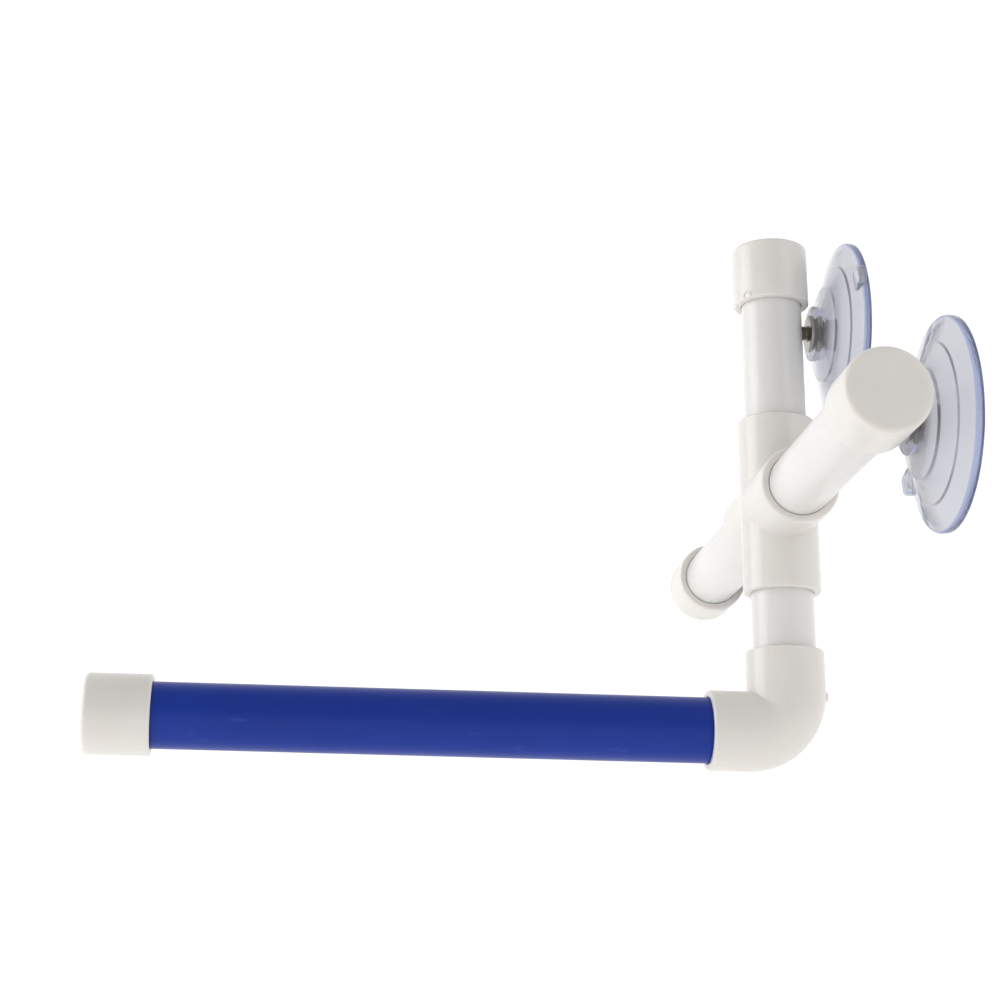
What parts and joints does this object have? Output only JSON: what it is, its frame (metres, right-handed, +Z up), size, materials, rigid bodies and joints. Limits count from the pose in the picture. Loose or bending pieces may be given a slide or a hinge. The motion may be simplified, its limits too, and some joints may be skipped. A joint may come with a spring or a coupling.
{
  "type": "suction cup bird perch",
  "caption": "Push-fit plastic pipe perch for a cage bird, held off a wall or window pane by clear suction cups, with a blue-sleeved bar.",
  "frame": {"origin": "on the wall plane that the suction cups' lips lie in, behind the middle of the cross fitting", "axes": "+Z up the upright, +X along the crossbar, +Y into the wall, so the perch bar runs out along -Y"},
  "size_m": [0.2554, 0.2458, 0.1777],
  "materials": {
    "moulded_pvc": "warm white injection-moulded PVC-U, satin",
    "extruded_pvc": "white extruded PVC-U pipe, satin",
    "blue_sleeve": "blue shrink sleeve, semi-matte",
    "clear_pvc": "clear flexible PVC, glossy, with a blue cast at thick edges",
    "plated_steel": "zinc-plated steel",
    "washer_steel": "stamped zinc-plated steel"
  },
  "bodies": {
    "hub": {"cross_fitting": "moulded_pvc", "lower_pipe": "extruded_pvc"},
    "perch_elbow": {"elbow_fitting": "moulded_pvc"},
    "perch_bar": {"perch_pipe": "extruded_pvc", "perch_sleeve": "blue_sleeve", "perch_cap": "moulded_pvc"},
    "upper_post": {"upper_pipe": "extruded_pvc", "top_cap": "moulded_pvc", "top_nut": "plated_steel"},
    "top_feed_washer": {"top_washer": "washer_steel"},
    "top_sucker": {"top_cup": "clear_pvc", "top_screw": "plated_steel"},
    "left_arm": {"left_arm_pipe": "extruded_pvc", "left_cap": "moulded_pvc", "left_nut": "plated_steel"},
    "left_feed_washer": {"left_washer": "washer_steel"},
    "left_sucker": {"left_cup": "clear_pvc", "left_screw": "plated_steel"},
    "right_arm": {"right_arm_pipe": "extruded_pvc", "right_cap": "moulded_pvc", "right_nut": "plated_steel"},
    "right_feed_washer": {"right_washer": "washer_steel"},
    "right_sucker": {"right_cup": "clear_pvc", "right_screw": "plated_steel"}
  },
  "joints": [
    {"name": "perch_swivel", "type": "hinge", "parent": "hub", "child": "perch_elbow", "pos_m": [0, -0.0255, -0.0735], "axis": [0, 0, 1], "range_deg": [-90, 90]},
    {"name": "perch_roll", "type": "hinge", "parent": "perch_elbow", "child": "perch_bar", "pos_m": [0, -0.0255, -0.0735], "axis": [0, 1, 0], "continuous": true},
    {"name": "upper_post_turn", "type": "hinge", "parent": "hub", "child": "upper_post", "pos_m": [0, -0.0255, 0], "axis": [0, 0, 1], "continuous": true},
    {"name": "top_screw_feed", "type": "slide", "parent": "upper_post", "child": "top_feed_washer", "axis": [0, 1, 0], "range_m": [-0.00061, 0.00161]},
    {"name": "top_cup_turn", "type": "hinge", "parent": "top_feed_washer", "child": "top_sucker", "pos_m": [0, 0, 0.0607], "axis": [0, 1, 0], "range_deg": [-270, 720]},
    {"name": "left_arm_turn", "type": "hinge", "parent": "hub", "child": "left_arm", "pos_m": [0, -0.0255, 0], "axis": [1, 0, 0], "continuous": true},
    {"name": "left_screw_feed", "type": "slide", "parent": "left_arm", "child": "left_feed_washer", "axis": [0, 1, 0], "range_m": [-0.00061, 0.00161]},
    {"name": "left_cup_turn", "type": "hinge", "parent": "left_feed_washer", "child": "left_sucker", "pos_m": [-0.0967, 0, 0], "axis": [0, 1, 0], "range_deg": [-270, 720]},
    {"name": "right_arm_turn", "type": "hinge", "parent": "hub", "child": "right_arm", "pos_m": [0, -0.0255, 0], "axis": [1, 0, 0], "continuous": true},
    {"name": "right_screw_feed", "type": "slide", "parent": "right_arm", "child": "right_feed_washer", "axis": [0, 1, 0], "range_m": [-0.00061, 0.00161]},
    {"name": "right_cup_turn", "type": "hinge", "parent": "right_feed_washer", "child": "right_sucker", "pos_m": [0.0967, 0, 0], "axis": [0, 1, 0], "range_deg": [-270, 720]}
  ],
  "couplings": [
    {"joint": "top_screw_feed", "follows": "top_cup_turn", "m_per_rad": 0.00012732},
    {"joint": "left_screw_feed", "follows": "left_cup_turn", "m_per_rad": 0.00012732},
    {"joint": "right_screw_feed", "follows": "right_cup_turn", "m_per_rad": 0.00012732}
  ]
}
